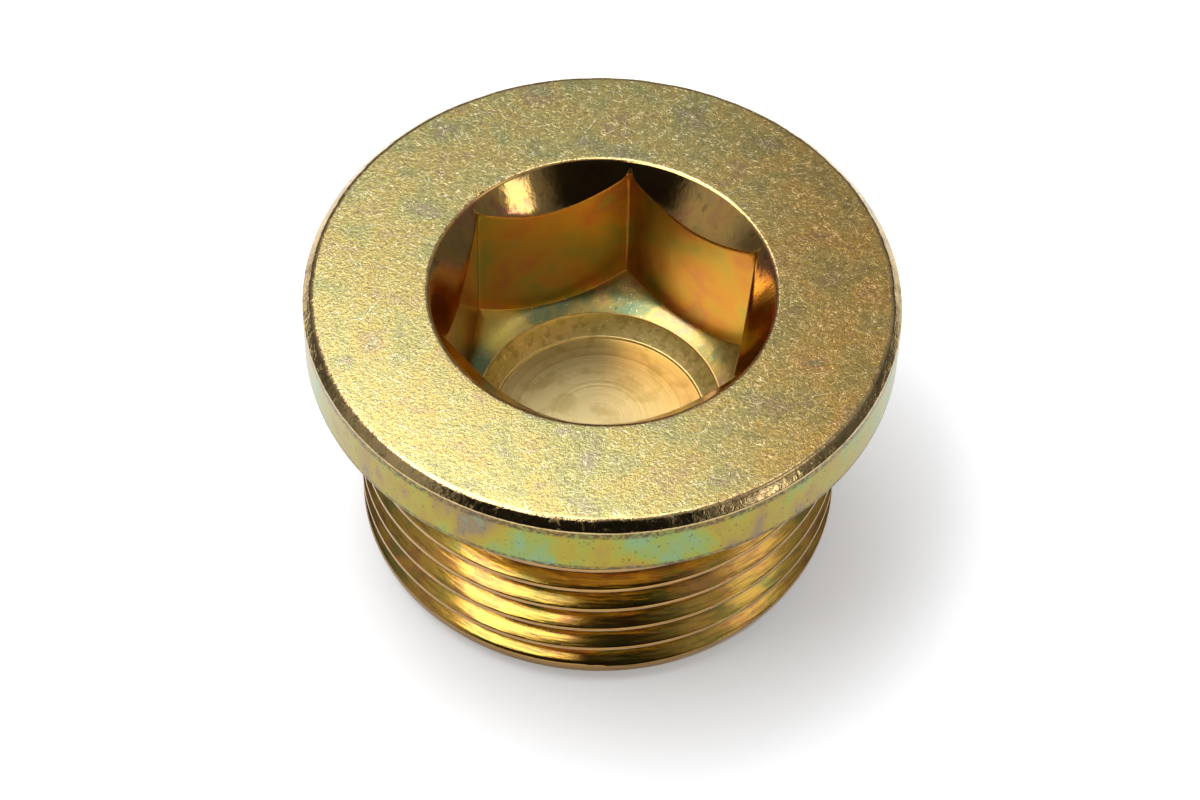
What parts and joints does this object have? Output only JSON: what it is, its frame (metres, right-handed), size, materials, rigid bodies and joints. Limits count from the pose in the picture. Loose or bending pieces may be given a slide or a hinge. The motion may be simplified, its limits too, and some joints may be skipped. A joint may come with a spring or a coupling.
{
  "type": "drain plug",
  "caption": "Collar screw plug with a right-hand external thread, a relieved neck, a flat sealing collar and a countersunk hexagon socket.",
  "frame": {"origin": "middle of the threaded end face, on the axis", "axes": "+Z along the axis from the threaded end to the collar's top face; the socket's flats face +X and -X and its corners +Y and -Y"},
  "size_m": [0.036, 0.036, 0.02],
  "materials": {
    "yellow_zinc_steel": "satin yellow-passivated zinc plating on steel"
  },
  "bodies": {
    "root": {"plug_body": "yellow_zinc_steel"}
  },
  "joints": []
}
